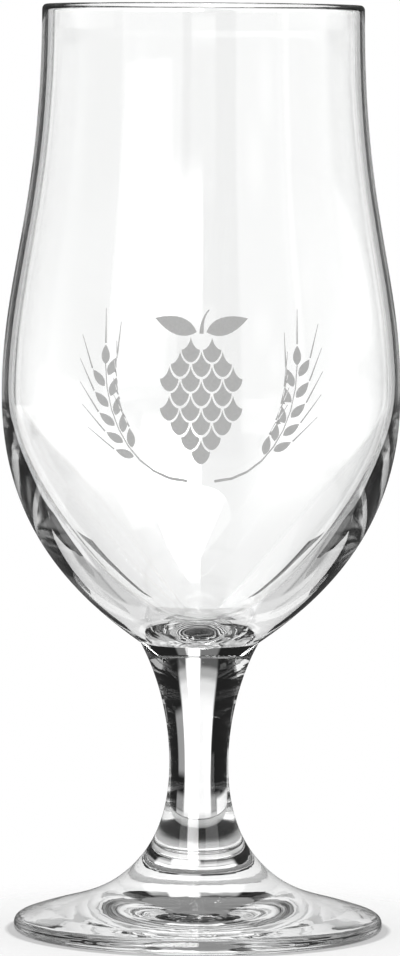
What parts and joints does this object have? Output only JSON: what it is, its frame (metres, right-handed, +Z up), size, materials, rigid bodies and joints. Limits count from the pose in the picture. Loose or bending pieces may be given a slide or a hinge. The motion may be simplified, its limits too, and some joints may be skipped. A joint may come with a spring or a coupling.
{
  "type": "stemmed beer glass",
  "caption": "Stemmed tulip beer glass: a thin blown bowl with a rounded lip and a thick bottom, a solid waisted stem and a round foot that stands on a flat ring.",
  "frame": {"origin": "centre of the plane that the foot stands on", "axes": "+Z up along the axis of the glass, towards the lip; -Y towards the side that carries the decoration"},
  "size_m": [0.0768, 0.0768, 0.179],
  "materials": {
    "clear_glass": "clear, fire-polished",
    "satin_etch": "grey, satin, sandblasted decoration on the bowl"
  },
  "bodies": {
    "root": {"foot": "clear_glass", "stem": "clear_glass", "bowl": "clear_glass"}
  },
  "joints": []
}
